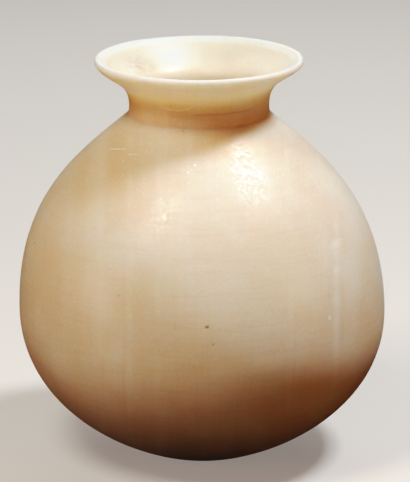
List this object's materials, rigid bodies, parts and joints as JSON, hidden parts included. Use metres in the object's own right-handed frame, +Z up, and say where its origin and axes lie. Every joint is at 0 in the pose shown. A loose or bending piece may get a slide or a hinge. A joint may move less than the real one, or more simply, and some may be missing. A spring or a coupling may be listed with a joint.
{
  "type": "globular alabaster jar",
  "caption": "Round stone storage jar with a small flat spot to stand on, a short neck and a wide flared rim, hollow and open at the top, without a lid.",
  "frame": {"origin": "centre of the bounding box's bottom, under the belly's middle on the surface that the jar stands on", "axes": "+Z up along the jar's axis through its mouth, -Y towards the side that the picture shows, +X to that view's right"},
  "size_m": [0.227, 0.227, 0.25],
  "materials": {
    "stone": "worn satin polish on cream translucent travertine, with faint bands and a white vein"
  },
  "bodies": {
    "root": {"jar": "stone"}
  },
  "joints": []
}
